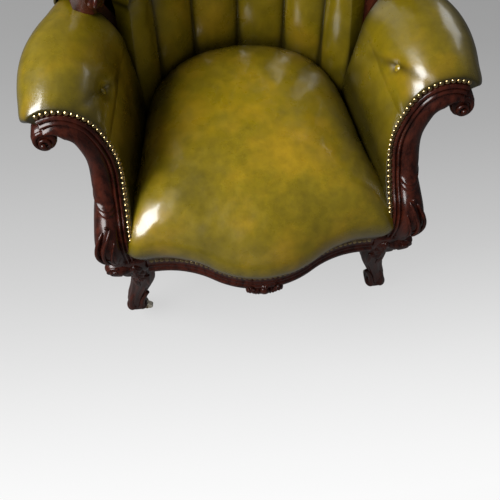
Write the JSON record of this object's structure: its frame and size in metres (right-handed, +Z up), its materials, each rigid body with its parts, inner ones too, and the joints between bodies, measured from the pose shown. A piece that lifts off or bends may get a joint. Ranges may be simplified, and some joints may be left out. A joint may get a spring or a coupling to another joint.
{
  "type": "button back easy chair",
  "caption": "Victorian tub easy chair with a buttoned leather back, rolled arms, sprung seat, carved show wood, brass nailing and swivelling castors.",
  "frame": {"origin": "on the floor, in the middle of the chair's plan", "axes": "+Z up, -Y towards the front of the seat, +X towards the right-hand side seen from the front"},
  "size_m": [0.8366, 0.7659, 1.028],
  "materials": {
    "leather": "glossy, hand dyed",
    "show_wood": "french polished",
    "hidden_wood": "unfinished",
    "brass": "polished",
    "china": "glazed",
    "spring_steel": "coppered",
    "webbing": "woven",
    "black_cloth": "woven"
  },
  "bodies": {
    "chair": {"arm_board_left": "hidden_wood", "arm_board_right": "hidden_wood", "arm_buttons": "leather", "arm_facing_left": "show_wood", "arm_facing_right": "show_wood", "arm_nails_left": "brass", "arm_nails_right": "brass", "arm_pad_left": "leather", "arm_pad_right": "leather", "arm_stump_left": "hidden_wood", "arm_stump_right": "hidden_wood", "back_buttons": "leather", "back_leg_left": "show_wood", "back_leg_right": "show_wood", "back_nails": "brass", "back_rail": "hidden_wood", "back_side_frame_left": "show_wood", "back_side_frame_right": "show_wood", "bottom_cloth": "black_cloth", "castor_plate_back_left": "brass", "castor_plate_back_right": "brass", "castor_plate_front_left": "brass", "castor_plate_front_right": "brass", "corner_blocks": "hidden_wood", "crest_rail": "show_wood", "front_leg_left": "show_wood", "front_leg_right": "show_wood", "front_rail": "show_wood", "inside_back": "leather", "outside_arm_left": "leather", "outside_arm_right": "leather", "outside_back": "leather", "rail_nails": "brass", "seat_cushion": "leather", "seat_springs": "spring_steel", "seat_webbing": "webbing", "side_rail_left": "hidden_wood", "side_rail_right": "hidden_wood", "spring_hessian": "webbing"},
    "castor_front_left": {"castor_axle_front_left": "brass", "castor_fork_front_left": "brass"},
    "castor_wheel_body_front_left": {"castor_wheel_front_left": "china"},
    "castor_front_right": {"castor_axle_front_right": "brass", "castor_fork_front_right": "brass"},
    "castor_wheel_body_front_right": {"castor_wheel_front_right": "china"},
    "castor_back_left": {"castor_axle_back_left": "brass", "castor_fork_back_left": "brass"},
    "castor_wheel_body_back_left": {"castor_wheel_back_left": "china"},
    "castor_back_right": {"castor_axle_back_right": "brass", "castor_fork_back_right": "brass"},
    "castor_wheel_body_back_right": {"castor_wheel_back_right": "china"}
  },
  "joints": [
    {"name": "castor_swivel_front_left", "type": "hinge", "parent": "chair", "child": "castor_front_left", "pos_m": [-0.298, -0.29, 0.04], "axis": [0, 0, 1], "continuous": true},
    {"name": "castor_roll_front_left", "type": "hinge", "parent": "castor_front_left", "child": "castor_wheel_body_front_left", "pos_m": [-0.28018, -0.29251, 0.016], "axis": [0.1392, 0.9903, 0], "continuous": true},
    {"name": "castor_swivel_front_right", "type": "hinge", "parent": "chair", "child": "castor_front_right", "pos_m": [0.298, -0.29, 0.04], "axis": [0, 0, 1], "continuous": true},
    {"name": "castor_roll_front_right", "type": "hinge", "parent": "castor_front_right", "child": "castor_wheel_body_front_right", "pos_m": [0.29334, -0.27261, 0.016], "axis": [-0.9659, -0.2588, 0], "continuous": true},
    {"name": "castor_swivel_back_left", "type": "hinge", "parent": "chair", "child": "castor_back_left", "pos_m": [-0.226, 0.232, 0.04], "axis": [0, 0, 1], "continuous": true},
    {"name": "castor_roll_back_left", "type": "hinge", "parent": "castor_back_left", "child": "castor_wheel_body_back_left", "pos_m": [-0.22134, 0.24939, 0.016], "axis": [-0.9659, 0.2588, 0], "continuous": true},
    {"name": "castor_swivel_back_right", "type": "hinge", "parent": "chair", "child": "castor_back_right", "pos_m": [0.226, 0.232, 0.04], "axis": [0, 0, 1], "continuous": true},
    {"name": "castor_roll_back_right", "type": "hinge", "parent": "castor_back_right", "child": "castor_wheel_body_back_right", "pos_m": [0.22287, 0.24973, 0.016], "axis": [-0.9848, -0.1736, 0], "continuous": true}
  ]
}
